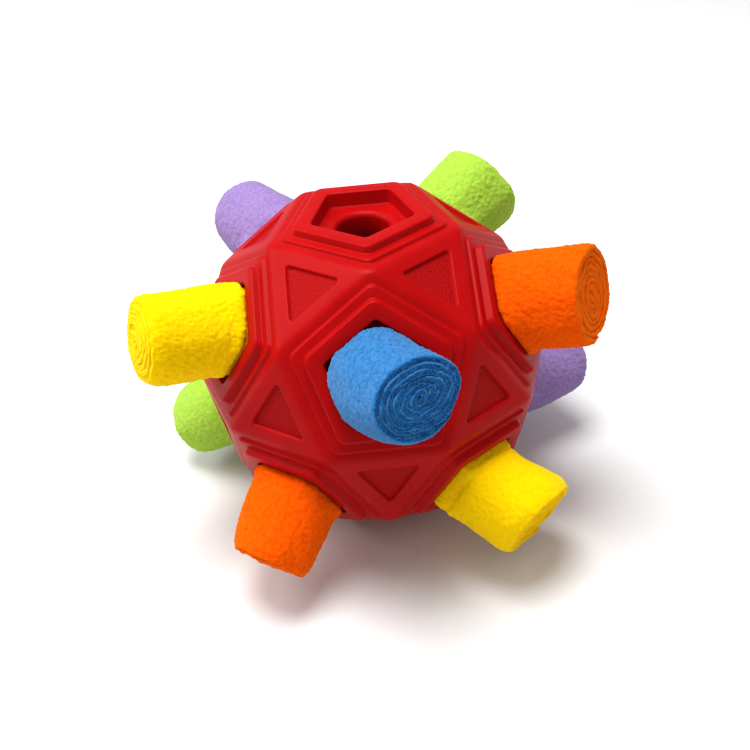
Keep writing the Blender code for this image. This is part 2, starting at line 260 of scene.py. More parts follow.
# The two reds that the rubber is mottled with, the red of the stippled recess floors, and how far
# they take it on
RUBBER_REDS = ((0.342, 0.0015, 0.002), (0.378, 0.002, 0.0026))
STIPPLED_RED = (0.315, 0.0011, 0.0016)
STIPPLED_SHARE = 0.6
RUBBER_SPECULAR = 0.055
# Noise of the mottling, the fine grain and the stipple: forms per metre, detail and roughness
MOTTLE_NOISE = (90.0, 3.0, 0.55)
GRAIN_NOISE = (2600.0, 2.0, 0.6)
STIPPLE_NOISE = (1500.0, 3.0, 0.65)
# Between which two values of its noise the mottling turns from one red to the other, and the same
# for its roughness, with the two roughnesses
RED_RAMP = (0.3, 0.7)
ROUGHNESS_RAMP = (0.2, 0.8, 0.34, 0.42)
# How much rougher the stipple is, and how much smoother a worn edge
STIPPLE_ROUGHNESS = 0.08
WEAR_SMOOTHNESS = 0.06
GRAIN_STRENGTH = 0.10
GRAIN_DEPTH = 0.04 * MM
STIPPLE_STRENGTH = 0.9
STIPPLE_DEPTH = 0.45 * MM


# Panel directions, corners and planes

def direction(azimuth, side):
    """Unit vector to a pentagon panel: azimuth in degrees, side +1 above or -1 below."""
    angle = radians(azimuth)
    lift = LATITUDE * side
    return Vector((sin(angle) * cos(lift), -cos(angle) * cos(lift), sin(lift)))


UP = Vector((0.0, 0.0, 1.0))
FIFTH = 360 / 5
UPPER_AXES = [direction(FIFTH * i, 1) for i in range(5)]
LOWER_AXES = [direction(FIFTH * (i + 0.5), -1) for i in range(5)]
PENTAGON_AXES = [UP, *UPPER_AXES, *LOWER_AXES, -UP]
NEIGHBOUR_COSINE = 1 / sqrt(5)
COSINE_TOLERANCE = 0.01
# The halves meet in the plane that is square to the last upper pocket, on the ball's left
SEAM_AXIS = UPPER_AXES[-1]


def are_neighbours(a, b):
    return abs(a.dot(b) - NEIGHBOUR_COSINE) < COSINE_TOLERANCE


TRIANGLES = [
    (a, b, c)
    for i, a in enumerate(PENTAGON_AXES)
    for j, b in enumerate(PENTAGON_AXES[:i])
    for c in PENTAGON_AXES[:j]
    if are_neighbours(a, b) and are_neighbours(a, c) and are_neighbours(b, c)
]


def around(axis, corners):
    """The corner directions in order round the axis, counter-clockwise seen from outside."""
    start = (corners[0] - axis * corners[0].dot(axis)).normalized()
    side = axis.cross(start)
    return sorted(corners, key=lambda corner: atan2(corner.dot(side), corner.dot(start)))


def pentagon_corners(axis):
    return around(axis, [(axis + b).normalized() for b in PENTAGON_AXES if are_neighbours(axis, b)])


def triangle_corners(axes):
    a, b, c = axes
    middle = (a + b + c).normalized()
    return middle, around(middle, [(a + b).normalized(), (b + c).normalized(), (c + a).normalized()])


PANEL_INRADIUS = POCKET_INRADIUS + RIM_WIDTH + LEDGE_WIDTH + EDGE_MARGIN
# In this solid a pentagon lies twice its inradius from the centre
PANEL_PLANE = 2 * PANEL_INRADIUS
LEDGE_PLANE = PANEL_PLANE + LOWER_STEP
RIM_PLANE = LEDGE_PLANE + UPPER_STEP
POCKET_PLANE = RIM_PLANE - POCKET_DEPTH
CAVITY_PLANE = POCKET_PLANE - FLOOR_WALL
COLLAR_PLANE = CAVITY_PLANE - COLLAR_DEPTH
CORNER_LIFT = 1 / UP.dot((UP + UPPER_AXES[0]).normalized())
BALL_RADIUS = PANEL_PLANE * CORNER_LIFT
CAVITY_RADIUS = CAVITY_PLANE * CORNER_LIFT
TRIANGLE_MIDDLE, TRIANGLE_CORNERS = triangle_corners(TRIANGLES[0])
TRIANGLE_COSINE = TRIANGLE_MIDDLE.dot(TRIANGLE_CORNERS[0])
TRIANGLE_PLANE = BALL_RADIUS * TRIANGLE_COSINE
TRIANGLE_INRADIUS = BALL_RADIUS * sqrt(1 - TRIANGLE_COSINE ** 2) * cos(pi / 3)
RECESS_INRADIUS = TRIANGLE_INRADIUS - RECESS_BAND
RECESS_PLANE = TRIANGLE_PLANE - RECESS_DEPTH

PLANE_NORMALS = np.array([*PENTAGON_AXES, *(triangle_corners(axes)[0] for axes in TRIANGLES)])
PLANE_HEIGHTS = np.array([PANEL_PLANE] * len(PENTAGON_AXES) + [TRIANGLE_PLANE] * len(TRIANGLES))


def soft_radius(directions):
    """Distance from the centre to the ball's soft-edged outside along each unit direction."""
    facing = np.maximum(directions @ PLANE_NORMALS.T, 0.0) / PLANE_HEIGHTS
    nearest = facing.max(axis=1, keepdims=True)
    total = ((facing / nearest) ** EDGE_POWER).sum(axis=1) ** (1 / EDGE_POWER)
    return 1 / (nearest[:, 0] * total)


def soften(points, axis, panel_plane):
    """Draws points in towards the centre where the ball's soft edges lie below the flat panel."""
    reach = np.linalg.norm(points, axis=1)
    directions = points / reach[:, None]
    flat = panel_plane / (directions @ np.array(axis))
    return points * (soft_radius(directions) / flat)[:, None]


# Outlines of a panel. Each has the same number of points, so that any two bridge point to point

CORNER_STEPS = 5
RUN_STEPS = 12
FILLET_STEPS = 3
# How much of a panel edge the points beside its corner take, as a share
CORNER_SHARE = 0.085


def corner_frames(axis, corners):
    frames = []
    for corner in corners:
        outward = (corner - axis * corner.dot(axis)).normalized()
        frames.append((np.array(outward), np.array(axis.cross(outward))))
    return frames


def fill_runs(arcs):
    """Joins the arcs round the corners with evenly spaced points along the straight runs."""
    points = []
    for i, arc in enumerate(arcs):
        after = arcs[(i + 1) % len(arcs)][0]
        points.extend(arc)
        points.extend(arc[-1] + (after - arc[-1]) * k / RUN_STEPS for k in range(1, RUN_STEPS))
    return np.array(points)


def edge_outline(corners, radius):
    """The panel's own sharp edges, at the ball's corners."""
    arcs = []
    for i, corner in enumerate(corners):
        here = np.array(corner) * radius
        before = np.array(corners[i - 1]) * radius
        after = np.array(corners[(i + 1) % len(corners)]) * radius
        arc = []
        for j in range(-CORNER_STEPS, CORNER_STEPS + 1):
            neighbour = after if j > 0 else before
            arc.append(here + (neighbour - here) * CORNER_SHARE * abs(j) / CORNER_STEPS)
        arcs.append(arc)
    return fill_runs(arcs)


def rounded_outline(axis, corners, plane, inradius, rounding):
    """A regular outline with rounded corners, square to the axis at the given plane."""
    half_turn = pi / len(corners)
    reach = (inradius - rounding) / cos(half_turn)
    arcs = []
    for outward, across in corner_frames(axis, corners):
        centre = np.array(axis) * plane + outward * reach
        arc = []
        for j in range(-CORNER_STEPS, CORNER_STEPS + 1):
            angle = half_turn * j / CORNER_STEPS
            arc.append(centre + (outward * cos(angle) + across * sin(angle)) * rounding)
        arcs.append(arc)
    return fill_runs(arcs)


def round_outline(axis, corners, plane, radius):
    """A circle whose points lie in the same directions as those of a rounded outline."""
    guide = rounded_outline(axis, corners, 0.0, HOLE_RADIUS, TERRACE_CORNER)
    spokes = guide / np.linalg.norm(guide, axis=1)[:, None]
    return spokes * radius + np.array(axis) * plane


def filleted(profile):
    """Replaces each inner point of a profile by an arc. A profile point is its inradius, its
    height, its fillet and its corner rounding, and each result also says how far it is worn."""
    result = [(*profile[0][:2], profile[0][3], 0.0)]
    for before, here, after in zip(profile, profile[1:], profile[2:]):
        point = Vector(here[:2])
        inward = (Vector(before[:2]) - point).normalized()
        onward = (Vector(after[:2]) - point).normalized()
        half = acos(max(-1.0, min(1.0, inward.dot(onward)))) / 2
        cut = here[2] / tan(half)
        start = point + inward * cut
        end = point + onward * cut
        middle = point + (inward + onward).normalized() * (here[2] / sin(half))
        raised = (inward + onward).y < 0
        for k in range(FILLET_STEPS + 1):
            spoke = start.lerp(end, k / FILLET_STEPS) - middle
            place = middle + spoke.normalized() * here[2]
            worn = sin(pi * k / FILLET_STEPS) if raised else 0.0
            result.append((place.x, place.y, here[3], worn))
    result.append((*profile[-1][:2], profile[-1][3], 0.0))
    return result


class PanelMesh:
    """Collects the rings of all panels of one half in one bmesh with its finish layers."""

    def __init__(self):
        self.mesh = bmesh.new()
        self.stipple = self.mesh.verts.layers.float.new("stipple")
        self.wear = self.mesh.verts.layers.float.new("wear")

    def ring(self, points, stipple=0.0, wear=0.0):
        verts = [self.mesh.verts.new(point) for point in points]
        for vert in verts:
            vert[self.stipple] = stipple
            vert[self.wear] = wear
        return verts

    def bridge(self, rings):
        for lower, upper in zip(rings, rings[1:]):
            for i in range(len(lower)):
                self.mesh.faces.new((lower[i - 1], lower[i], upper[i], upper[i - 1]))


# Where the rings of the soft margin lie between the panel edge and the terrace, as shares
MARGIN_SHARES = (0.0, 0.035, 0.08, 0.14, 0.22, 0.33, 0.47, 0.64, 0.82)
# How worn, that is polished by handling, the rings of the margin are, as shares
MARGIN_WEAR_SHARES = (0.8, 0.75, 0.65, 0.5, 0.35, 0.2, 0.1, 0.05, 0.0)
# How worn the edges of a hole and of a recess are, as shares of the terrace's
HOLE_WEAR_SHARE = 0.5
RECESS_WEAR_SHARE = 0.7
# Where the rings of a recess floor and of the cavity side lie, as shares of the way outwards
FLOOR_SHARES = (0.8, 0.6, 0.4, 0.2, 0.08)
PENTAGON_INSIDE_SHARES = (0.3, 0.65, 1.0)
TRIANGLE_INSIDE_SHARES = (0.25, 0.6, 1.0)


def margin_rings(panel, axis, plane, edge, inner):
    """The soft strip from a panel's edge in towards its first step."""
    rings = []
    for share, wear in zip(MARGIN_SHARES, MARGIN_WEAR_SHARES):
        flat = edge * (1 - share) + inner * share
        rings.append(panel.ring(soften(flat, axis, plane), wear=wear))
    return rings


def terrace_profile():
    """From a pentagon's margin up its two steps and down to its pocket's floor."""
    ledge = PANEL_INRADIUS - EDGE_MARGIN
    rim = ledge - LEDGE_WIDTH
    floor = POCKET_INRADIUS - POCKET_DRAFT
    return filleted((
        (ledge + STEP_DRAFT + 2 * BASE_FILLET, PANEL_PLANE, 0.0, TERRACE_CORNER),
        (ledge + STEP_DRAFT, PANEL_PLANE, BASE_FILLET, TERRACE_CORNER),
        (ledge, LEDGE_PLANE, STEP_FILLET, TERRACE_CORNER),
        (rim + STEP_DRAFT, LEDGE_PLANE, BASE_FILLET, TERRACE_CORNER),
        (rim, RIM_PLANE, RIM_FILLET, TERRACE_CORNER),
        (POCKET_INRADIUS, RIM_PLANE, POCKET_FILLET, POCKET_CORNER),
        (floor, POCKET_PLANE, FLOOR_FILLET, POCKET_CORNER),
        (floor - 2 * FLOOR_FILLET, POCKET_PLANE, 0.0, POCKET_CORNER),
    ))


def hole_profile():
    """From a pocket's floor through the hole and round its collar to the cavity side."""
    collar = HOLE_RADIUS + COLLAR_WALL
    return filleted((
        (HOLE_RADIUS + LIP_REACH, POCKET_PLANE, 0.0, 0.0),
        (HOLE_RADIUS, POCKET_PLANE, LIP_FILLET, 0.0),
        (HOLE_RADIUS, COLLAR_PLANE, BASE_FILLET, 0.0),
        (collar, COLLAR_PLANE, BASE_FILLET, 0.0),
        (collar, CAVITY_PLANE, BASE_FILLET, 0.0),
        (collar + 2 * BASE_FILLET, CAVITY_PLANE, 0.0, 0.0),
    ))


def recess_profile():
    """From a triangle's margin down to the flat of its recess floor."""
    floor = RECESS_INRADIUS - RECESS_DRAFT
    return filleted((
        (RECESS_INRADIUS + 2 * RECESS_FILLET, TRIANGLE_PLANE, 0.0, RECESS_CORNER),
        (RECESS_INRADIUS, TRIANGLE_PLANE, RECESS_FILLET, RECESS_CORNER),
        (floor, RECESS_PLANE, RECESS_FILLET, RECESS_FOOT_CORNER),
        (floor - 2 * RECESS_FILLET, RECESS_PLANE, 0.0, RECESS_FLOOR_CORNER),
    ))


def pentagon_panel(panel, axis):
    """Margin, two-step terrace, pocket, round hole and the cavity side of one pentagon."""
    corners = pentagon_corners(axis)
    terrace = terrace_profile()
    hole = hole_profile()
    edge = edge_outline(corners, BALL_RADIUS)
    first = rounded_outline(axis, corners, PANEL_PLANE, terrace[0][0], TERRACE_CORNER)
    rings = margin_rings(panel, axis, PANEL_PLANE, edge, first)
    for inradius, plane, rounding, wear in terrace:
        flat = rounded_outline(axis, corners, plane, inradius, rounding)
        rings.append(panel.ring(soften(flat, axis, PANEL_PLANE), wear=wear))
    last = rounded_outline(axis, corners, POCKET_PLANE, terrace[-1][0], POCKET_CORNER)
    mouth = round_outline(axis, corners, POCKET_PLANE, hole[0][0])
    rings.append(panel.ring((last + mouth) / 2))
    for radius, plane, _, wear in hole:
        worn = wear * HOLE_WEAR_SHARE
        rings.append(panel.ring(round_outline(axis, corners, plane, radius), wear=worn))
    inner_edge = edge_outline(corners, CAVITY_RADIUS)
    rim_inside = round_outline(axis, corners, CAVITY_PLANE, hole[-1][0])
    for share in PENTAGON_INSIDE_SHARES:
        rings.append(panel.ring(rim_inside * (1 - share) + inner_edge * share))
    panel.bridge(rings)


def triangle_panel(panel, axes):
    """Margin, recess with a stippled floor, and the cavity side of one triangle."""
    axis, corners = triangle_corners(axes)
    recess = recess_profile()
    edge = edge_outline(corners, BALL_RADIUS)
    first = rounded_outline(axis, corners, TRIANGLE_PLANE, recess[0][0], RECESS_CORNER)
    rings = margin_rings(panel, axis, TRIANGLE_PLANE, edge, first)
    for inradius, plane, rounding, wear in recess:
        flat = rounded_outline(axis, corners, plane, inradius, rounding)
        stippled = float(plane < RECESS_PLANE + RECESS_FILLET / 4)
        worn = wear * RECESS_WEAR_SHARE
        rings.append(panel.ring(soften(flat, axis, TRIANGLE_PLANE), stippled, worn))
    middle = np.array(axis) * RECESS_PLANE
    last = rounded_outline(axis, corners, RECESS_PLANE, recess[-1][0], recess[-1][2])
    for share in FLOOR_SHARES:
        rings.append(panel.ring(middle + (last - middle) * share, 1.0))
    panel.bridge(rings)
    panel.mesh.faces.new(rings[-1])
    inside = edge_outline(corners, CAVITY_RADIUS)
    centre = inside.mean(axis=0)
    rings = [panel.ring(centre + (inside - centre) * share) for share in TRIANGLE_INSIDE_SHARES]
    panel.bridge(rings)
    panel.mesh.faces.new(reversed(rings[0]))


def add_bead(mesh):
    """Raises the outside a little along the joint of the halves."""
    inside = (CAVITY_RADIUS + BALL_RADIUS) / 2
    for vert in mesh.verts:
        off = abs(vert.co.dot(SEAM_AXIS))
        if off < BEAD_REACH and vert.co.length > inside:
            lift = BEAD_HEIGHT * exp(-(off / BEAD_WIDTH) ** 2)
            vert.co += vert.co.normalized() * lift


def shell_half(name, side):
    """One moulded half, closed along the seam plane."""
    panel = PanelMesh()
    for axis in PENTAGON_AXES:
        if axis.dot(SEAM_AXIS) * side > 0:
            pentagon_panel(panel, axis)
    for axes in TRIANGLES:
        if sum(axis.dot(SEAM_AXIS) for axis in axes) * side > 0:
            triangle_panel(panel, axes)
    mesh = panel.mesh
    bmesh.ops.remove_doubles(mesh, verts=mesh.verts, dist=MERGE)
    add_bead(mesh)
    for vert in mesh.verts:
        if abs(vert.co.dot(SEAM_AXIS)) < MERGE:
            vert.co += SEAM_AXIS * (side * SEAM_GAP / 2)
    bmesh.ops.bridge_loops(mesh, edges=[edge for edge in mesh.edges if edge.is_boundary])
    bmesh.ops.recalc_face_normals(mesh, faces=mesh.faces)
    return finished_object(name, mesh)


def finished_object(name, mesh_source):
    mesh = bpy.data.meshes.new(name)
    mesh_source.to_mesh(mesh)
    mesh_source.free()
    mesh.shade_smooth()
    obj = bpy.data.objects.new(name, mesh)
    bpy.context.scene.collection.objects.link(obj)
    return obj


# Fleece rolls, in their own frame: z from the rim plane outwards, x east and y north

def smoothed(value):
    value = min(1.0, max(0.0, value))
    return value * value * (3 - 2 * value)


def soft_noise(x, y, z):
    return noise.noise(Vector((x, y, z)))


class Roll:
    """One wound strip. A point on it is told by its station along the strip, its layer radius
    and its row, from the foot of the neck to the end face."""

    # Spacing of the stations along the strip and of the rows across it, and the longest step in
    # radians from one station to the next
    OUTER_SPACING = 0.36 * MM
    INNER_SPACING = 0.75 * MM
    ROW_SPACING = 0.36 * MM
    LONGEST_STEP = pi / 9
    ROWS_PER_BAND = 4
    EDGE_ROWS = 7
    # The outermost turn and this much more, in radians, have the fine stations and rows
    WRAP_MARGIN = 0.15

    def __init__(self, seed, side, lean, strip_end, oval, slant=(0, 0), length=1, end=1, swell=1,
                 fill=1, sag=0.5, bend=1.5, rounding=1, cut=1, crown=1, fade=1):
        end_radius = ROLL_END_RADIUS * end
        self.seed = seed * SEED_STEP
        # A corner of the pocket points north above the equator, and south below it
        self.corner = radians(90) * side
        self.lean = lean
        self.length = ROLL_LENGTH * length
        self.end_radius = end_radius
        self.fill = CORNER_FILL_SHARE * fill
        self.sag = SAG * sag
        self.bend = bend
        self.rounding = rounding
        self.cut_rounding = CUT_ROUNDING * cut
        self.cut_tone = min(1.0, cut)
        self.drop = END_DROP * crown
        self.fade = POCKET_FADE * fade
        self.oval_amount = oval[0]
        self.oval_angle = radians(oval[1])
        self.slant = [tan(radians(angle)) for angle in slant]
        self.mouth = POCKET_INRADIUS - ROLL_CLEARANCE
        self.swell = self.mouth + ROLL_SWELL * swell
        turns = (end_radius - CORE_RADIUS - FLEECE) / (FLEECE + LAYER_GAP)
        self.turn = 2 * pi * turns
        self.pitch = (end_radius - CORE_RADIUS - FLEECE) / turns
        self.start = radians(strip_end) - self.turn
        self.wrap = self.turn - 2 * pi - self.WRAP_MARGIN
        self.profile = self.profile_points()
        self.strip_length = self.stations()[-1][2]

    def stations(self):
        """Angle from the strip's first turn, radius of the inner face and length so far."""
        result = []
        angle = -CORE_TURN
        length = 0.0
        while True:
            radius, thick = self.layer(angle)
            result.append((angle, radius, length))
            if angle >= self.turn:
                return result
            spacing = self.OUTER_SPACING if angle > self.wrap else self.INNER_SPACING
            middle = radius + thick / 2
            step = min(spacing / middle, self.LONGEST_STEP)
            left = self.turn - angle
            step = left / ceil(left / step) if left > step else left
            angle = min(self.turn, angle + step)
            length += step * middle

    def layer(self, angle):
        """Inner radius and thickness of the strip. Before its first turn it fills the core, and
        its free end is pressed flat against the roll."""
        radius = CORE_RADIUS + self.pitch * angle / (2 * pi)
        if angle < 0.0:
            inner = CORE_RADIUS * (1 + (1 - CORE_HOLE_SHARE) * angle / CORE_TURN)
            return inner, radius + self.pitch - LAYER_GAP - inner
        left = (self.turn - angle) * radius / TAIL_LENGTH
        return radius, FLEECE * (TAIL_SHARE + (1 - TAIL_SHARE) * smoothed(left))

    def profile_points(self):
        """Outer radius as a share of the end radius, and height, from the neck's foot up."""
        neck = (HOLE_RADIUS - ROLL_CLEARANCE) / self.end_radius
        mouth = self.mouth / self.end_radius
        shoulder = -POCKET_DEPTH + ROLL_CLEARANCE
        foot = -POCKET_DEPTH - FLOOR_WALL - NECK_REACH
        guide = []
        for radius, level, shares in (
            (neck, foot, FOOT_SHARES),
            (neck, shoulder, NECK_SHARES),
            (mouth, shoulder, SHOULDER_SHARES),
        ):
            guide.extend((radius * share, level + rise) for share, rise in shares)
        guide.extend((mouth, height) for height in POCKET_HEIGHTS)
        top = self.length - self.cut_rounding
        swell = self.swell / self.end_radius
        height = SWELL_START
        while height < top:
            guide.append((self.share_above(height, mouth, swell), height))
            height += GUIDE_STEP
        guide.append((self.share_above(top, mouth, swell), top))
        return self.spaced(guide)

    def share_above(self, height, mouth, swell):
        """How wide the roll is above the rim, as a share of its end radius."""
        if height < SWELL_HEIGHT:
            rise = height / SWELL_HEIGHT
            return mouth + (swell - mouth) * sin(rise * pi / 2) ** SWELL_POWER
        fall = (height - SWELL_HEIGHT) / (self.length - SWELL_HEIGHT)
        near_end = max(0.0, 1 - (self.length - height) / (END_ROUNDING * sqrt(self.rounding)))
        drawn_in = 1 - END_ROUNDING_SHARE * self.rounding * near_end ** 2
        return (swell + (1.0 - swell) * fall ** self.bend) * drawn_in

    def spaced(self, guide):
        """The guide resampled to rows of about even spacing, a whole number of bands of them."""
        reach = [0.0]
        for a, b in zip(guide, guide[1:]):
            run = sqrt(((b[0] - a[0]) * self.end_radius) ** 2 + (b[1] - a[1]) ** 2)
            reach.append(reach[-1] + run)
        bands = ceil(reach[-1] / self.ROW_SPACING / self.ROWS_PER_BAND)
        rows = bands * self.ROWS_PER_BAND
        wanted = np.linspace(0.0, reach[-1], rows + 1)
        shares = np.interp(wanted, reach, [point[0] for point in guide])
        heights = np.interp(wanted, reach, [point[1] for point in guide])
        return list(zip(shares, heights))

    def place(self, angle, radius, share, height):
        """A point of the roll, squeezed by the pocket, warped and leaned as the roll is."""
        turn = self.start + angle
        outside = smoothed((height - FADE_START) / self.fade)
        radius = radius * share * self.spread(turn, height, 1 - outside)
        inside = max(0.0, 1 - (radius / self.end_radius) ** 2)
        x, y = self.made_oval(cos(turn) * radius, sin(turn) * radius, height, inside)
        east, north = self.folds(x, y, height, inside)
        push = (FOLD_PUSH + INNER_FOLD_PUSH * inside) * outside
        sag = self.sag * sin(pi * min(1.0, max(0.0, height / self.length)))
        near_end = smoothed((height / self.length - SLANT_START_SHARE) / (1 - SLANT_START_SHARE))
        slanted = (x * self.slant[0] + y * self.slant[1]) * near_end
        return self.leaned(Vector((x + push * east, y + push * north - sag, height + slanted)))

    def spread(self, turn, height, held):
        """How much wider than round the roll is where it fills the corners of its pocket."""
        off_side = (turn - self.corner) % PENTAGON_TURN - PENTAGON_TURN / 2
        width = min(1 / cos(off_side), self.fill)
        return 1 + (width - 1) * smoothed((height + POCKET_DEPTH - FILL_START) / FILL_RUN) * held

    def made_oval(self, x, y, height, inside):
        """Stretches the roll in one direction towards its end, and its middle more than the rest."""
        stretch = self.oval_amount * (1 + INNER_OVAL_SHARE * inside) * smoothed(height / self.length)
        c = cos(self.oval_angle)
        s = sin(self.oval_angle)
        along = (c * x + s * y) * (1 + stretch)
        across = (c * y - s * x) * (1 - stretch)
        return c * along - s * across, s * along + c * across

    def folds(self, x, y, height, inside):
        """Noise of the soft folds, and in the roll's middle also of its kinks, east and north."""
        flow = height / FOLD_LENGTH
        pushes = []
        for fold_offset, kink_offset in FOLD_OFFSETS:
            fold = soft_noise(x / FOLD_SIZE, y / FOLD_SIZE, self.seed + fold_offset + flow)
            kink = soft_noise(x / KINK_SIZE, y / KINK_SIZE, self.seed + kink_offset)
            pushes.append(fold + KINK_SHARE * inside * kink)
        return pushes

    def leaned(self, point):
        height = max(0.0, point.z - LEAN_START) / (self.length - LEAN_START)
        share = 1 - (1 - min(1.0, height)) ** LEAN_POWER
        east, north = self.lean
        tip = Vector((tan(radians(east * share)), tan(radians(north * share)), 1.0))
        return UP.rotation_difference(tip.normalized()) @ point

    def edge_height(self, radius, length):
        """How far a layer's end lies below the roll's full length."""
        drop = self.drop * (radius / self.end_radius) ** DOME_POWER
        for height, wave, offset in EDGE_WAVES:
            drop -= height * soft_noise(length / wave, self.seed, offset)
        return drop

    def cut_shade(self, share, length):
        """How far a point of the cut edge shows the strip's knitted middle, from 0 to 1, where
        share runs from 0 at the edge's two sides to 1 in its middle."""
        bound = CUT_START_SHARE + CUT_SPREAD_SHARE * soft_noise(length / CUT_WAVE, self.seed, CUT_OFFSET)
        return smoothed((share - bound) / CUT_SOFTNESS_SHARE) * self.cut_tone

    def column(self, angle, radius, length, fine):
        """The strip's cross-section at one station, as a closed ring of points: the outer face
        from foot to end, the rounded cut edge, and the inner face back down."""
        drop = self.edge_height(radius, length)
        thick = self.layer(angle)[1]
        top = self.profile[-1][1]
        dome = DOME_START_SHARE * top
        outer = []
        inner = []
        for row, (share, height) in enumerate(self.profile):
            on_band = row % self.ROWS_PER_BAND == 0
            settled = height - drop * smoothed((height - dome) / (top - dome))
            if fine or on_band:
                outer.append(self.place(angle, radius + thick, share, settled))
            if on_band:
                inner.append(self.place(angle, radius, share, settled))
        share, height = self.profile[-1]
        edge = []
        for k in range(1, self.EDGE_ROWS + 1):
            bow = pi * k / (self.EDGE_ROWS + 1)
            across = radius + thick / 2 * (1 + cos(bow))
            rise = self.cut_rounding * sin(bow) ** CUT_POWER
            edge.append(self.place(angle, across, share, height - drop + rise))
        return outer, edge, inner[::-1]


def roll_object(name, roll):
    mesh = bmesh.new()
    cut = mesh.verts.layers.float.new("cut")
    fuzz = mesh.verts.layers.float.new("fuzz")
    # Painted shading of the nap, taken from its relief, which the fleece colour reads
    nap_shading = mesh.verts.layers.float.new("nap_shading")
    before = None
    for angle, radius, length in roll.stations():
        fine = angle > roll.wrap
        outer, edge, inner = roll.column(angle, radius, length, fine)
        column = []
        for points, amount in ((outer, float(fine)), (edge, CUT_NAP_SHARE), (inner, 0.0)):
            verts = [mesh.verts.new(point) for point in points]
            for vert in verts:
                vert[fuzz] = amount
            column.append(verts)
        for k, vert in enumerate(column[1]):
            share = sin(pi * (k + 1) / (len(edge) + 1))
            vert[cut] = roll.cut_shade(share, length)
        if before is None:
            close_strip(mesh, roll, column, False)
        else:
            join_columns(mesh, roll, before, column)
        before = column
    close_strip(mesh, roll, before, True)
    bmesh.ops.recalc_face_normals(mesh, faces=mesh.faces)
    add_pile(mesh, roll, fuzz, nap_shading)
    return finished_object(name, mesh)


def join_columns(mesh, roll, before, column):
    """Faces between two stations. Where the outer face turns finer, one long edge of the coarse
    station faces several short ones of the fine one."""
    outer_a, edge_a, inner_a = before
    outer_b, edge_b, inner_b = column
    bands = roll.ROWS_PER_BAND
    if len(outer_a) == len(outer_b):
        for i in range(len(outer_a) - 1):
            mesh.faces.new((outer_a[i], outer_b[i], outer_b[i + 1], outer_a[i + 1]))
    else:
        for i in range(len(outer_a) - 1):
            fine = outer_b[i * bands:(i + 1) * bands + 1]
            mesh.faces.new((outer_a[i], *fine, outer_a[i + 1]))
    rest_a = [outer_a[-1], *edge_a, *inner_a, outer_a[0]]
    rest_b = [outer_b[-1], *edge_b, *inner_b, outer_b[0]]
    for i in range(len(rest_a) - 1):
        mesh.faces.new((rest_a[i], rest_b[i], rest_b[i + 1], rest_a[i + 1]))


def close_strip(mesh, roll, column, fine):
    """Closes the strip at one of its two ends, band by band."""
    outer, edge, inner = column
    up = inner[::-1]
    step = roll.ROWS_PER_BAND if fine else 1
    for i in range(len(up) - 1):
        mesh.faces.new((*outer[i * step:(i + 1) * step + 1], up[i + 1], up[i]))
    mesh.faces.new((outer[-1], *edge, inner[0]))


def add_pile(mesh, roll, fuzz, nap_shading):
    """Raises the nap in small soft tufts, a little longer along the roll than round it, and keeps how
    high each point stands, from about 0 to 1, as painted shading for the colour: painted shade in the
    low points."""
    mesh.normal_update()
    moves = []
    for vert in mesh.verts:
        amount = vert[fuzz]
        if amount == 0.0:
            continue
        x, y, z = vert.co
        height = NAP_HEIGHT
        painted_shading = NAP_MEAN_SHADING
        for size, length, rise, shade, (east, north) in NAP_FORMS:
            form = soft_noise(x / size + east * roll.seed, y / size + north * roll.seed, z / length)
            height += rise * form
            painted_shading += shade * form
        # Painted shading follows the tufts' heights: the low points get painted shade in the colour
        vert[nap_shading] = painted_shading
        moves.append((vert, vert.normal * (height * amount)))
    for vert, move in moves:
        vert.co += move


def place_on_panel(obj, axis):
    """Moves a mesh from its own frame to a pocket's mouth, its z outwards and its y north."""
    north = (UP - axis * UP.dot(axis)).normalized()
    east = north.cross(axis)
    turn = Matrix((east, north, axis)).transposed()
    obj.data.transform(Matrix.Translation(axis * RIM_PLANE) @ turn.to_4x4())


# Materials

class Nodes:
    """A small helper that adds nodes to a material and links their sockets."""

    def __init__(self, name):
        self.material = bpy.data.materials.new(name)
        self.material.use_nodes = True
        self.tree = self.material.node_tree
        self.shader = self.tree.nodes["Principled BSDF"]

    def add(self, kind, **settings):
        node = self.tree.nodes.new(kind)
        for name, value in settings.items():
            setattr(node, name, value)
        return node

    def set(self, node, **values):
        for name, value in values.items():
            node.inputs[name.replace("_", " ")].default_value = value

    def link(self, source, target):
        self.tree.links.new(source, target)

    def noise(self, vector, scale, detail, roughness):
        node = self.add("ShaderNodeTexNoise")
        self.set(node, Scale=scale, Detail=detail, Roughness=roughness)
        self.link(vector, node.inputs["Vector"])
        return node.outputs["Fac"]

    def ramp(self, factor, low, high, first=0.0, last=1.0):
        node = self.add("ShaderNodeMapRange", interpolation_type="SMOOTHSTEP")
        self.link(factor, node.inputs["Value"])
        for name, value in (("From Min", low), ("From Max", high), ("To Min", first), ("To Max", last)):
            node.inputs[name].default_value = value
        return node.outputs["Result"]

    def math(self, operation, a, b):
        node = self.add("ShaderNodeMath", operation=operation)
        for socket, value in zip(node.inputs, (a, b)):
            if isinstance(value, (int, float)):
                socket.default_value = value
            else:
                self.link(value, socket)
        return node.outputs[0]

    def mix(self, factor, a, b):
        node = self.add("ShaderNodeMix", data_type="RGBA")
        self.link(factor, node.inputs["Factor"])
        colours = [socket for socket in node.inputs if socket.type == "RGBA"]
        for socket, value in zip(colours, (a, b)):
            if isinstance(value, tuple):
                socket.default_value = (*value, 1.0)
            else:
                self.link(value, socket)
        return next(socket for socket in node.outputs if socket.type == "RGBA")

    def attribute(self, name):
        return self.add("ShaderNodeAttribute", attribute_name=name).outputs["Fac"]

    def position(self):
        return self.add("ShaderNodeTexCoord").outputs["Object"]

    def bump(self, height, strength, distance, normal=None):
        node = self.add("ShaderNodeBump")
        self.set(node, Strength=strength, Distance=distance)
        self.link(height, node.inputs["Height"])
        if normal is not None:
            self.link(normal, node.inputs["Normal"])
        return node.outputs["Normal"]


